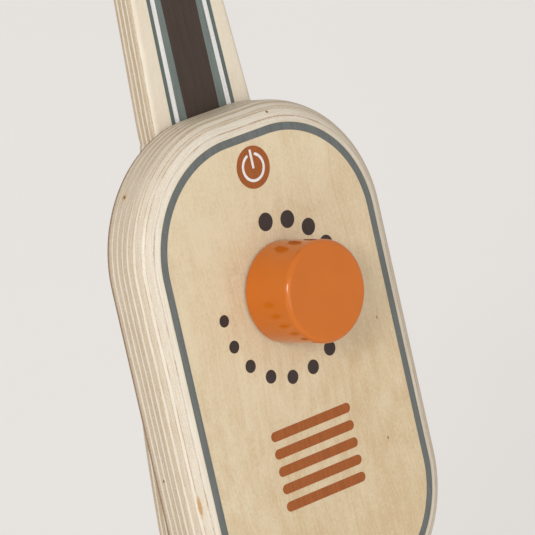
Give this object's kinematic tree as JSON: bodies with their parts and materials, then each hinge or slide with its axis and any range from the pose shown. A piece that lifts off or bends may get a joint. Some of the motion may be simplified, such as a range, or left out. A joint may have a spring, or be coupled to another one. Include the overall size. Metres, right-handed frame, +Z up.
{
  "type": "toy vacuum cleaner",
  "caption": "Wooden toy upright vacuum: plywood body with a turning dial knob on a striped loop-handle plank, hinged to a wheeled floor head with felt glides and a roller.",
  "frame": {"origin": "on the floor, under the middle of the overall box", "axes": "+Z up, the front faces -Y, +X to the right seen from the front"},
  "size_m": [0.2062, 0.2463, 0.6088],
  "materials": {
    "birch_plywood": "clear satin lacquer",
    "beech": "clear satin lacquer",
    "orange_paint": "gloss paint on turned wood",
    "grey_felt": "pressed wool felt",
    "brown_rubber": "matt moulded rubber",
    "steel": "zinc plated",
    "nylon": "natural nylon"
  },
  "bodies": {
    "floor_head": {"head_cover": "birch_plywood", "left_cheek": "birch_plywood", "right_cheek": "birch_plywood", "left_felt_glide": "grey_felt", "right_felt_glide": "grey_felt", "wheel_axle": "steel", "left_axle_cap": "orange_paint", "right_axle_cap": "orange_paint", "wheel_washers": "steel", "roller_dowel": "beech", "left_ear": "birch_plywood", "right_ear": "birch_plywood", "ear_dowels": "beech", "cheek_dowels": "beech", "hinge_dowel": "beech", "left_hinge_cap": "orange_paint", "right_hinge_cap": "orange_paint", "hinge_washers": "grey_felt"},
    "upright": {"handle_plank": "birch_plywood", "body_block": "birch_plywood", "hinge_barrel": "beech", "barrel_pins": "beech", "body_screws": "steel", "click_leaf": "nylon", "leaf_screws": "steel", "knob_felt_washer": "grey_felt"},
    "dial": {"knob": "orange_paint", "knob_spindle": "beech", "click_wheel": "nylon", "spindle_washer": "steel", "spindle_screw": "steel"},
    "left_running_wheel": {"left_wheel": "beech", "left_tyre": "brown_rubber"},
    "right_running_wheel": {"right_wheel": "beech", "right_tyre": "brown_rubber"},
    "roller": {"floor_roller": "orange_paint", "roller_felt_blades": "grey_felt"}
  },
  "joints": [
    {"name": "handle_tilt", "type": "hinge", "parent": "floor_head", "child": "upright", "pos_m": [0, -0.05924, 0.077], "axis": [-1, 0, 0], "range_deg": [-18.5, 41.5]},
    {"name": "dial_turn", "type": "hinge", "parent": "upright", "child": "dial", "pos_m": [0.001, -0.02971, 0.25113], "axis": [0, -0.9483, 0.3173], "continuous": true, "deforming": ["click_leaf"]},
    {"name": "left_wheel_spin", "type": "hinge", "parent": "floor_head", "child": "left_running_wheel", "pos_m": [0, 0.00276, 0.026], "axis": [1, 0, 0], "continuous": true},
    {"name": "right_wheel_spin", "type": "hinge", "parent": "floor_head", "child": "right_running_wheel", "pos_m": [0, 0.00276, 0.026], "axis": [1, 0, 0], "continuous": true},
    {"name": "roller_spin", "type": "hinge", "parent": "floor_head", "child": "roller", "pos_m": [0, -0.10124, 0.016], "axis": [1, 0, 0], "continuous": true}
  ]
}
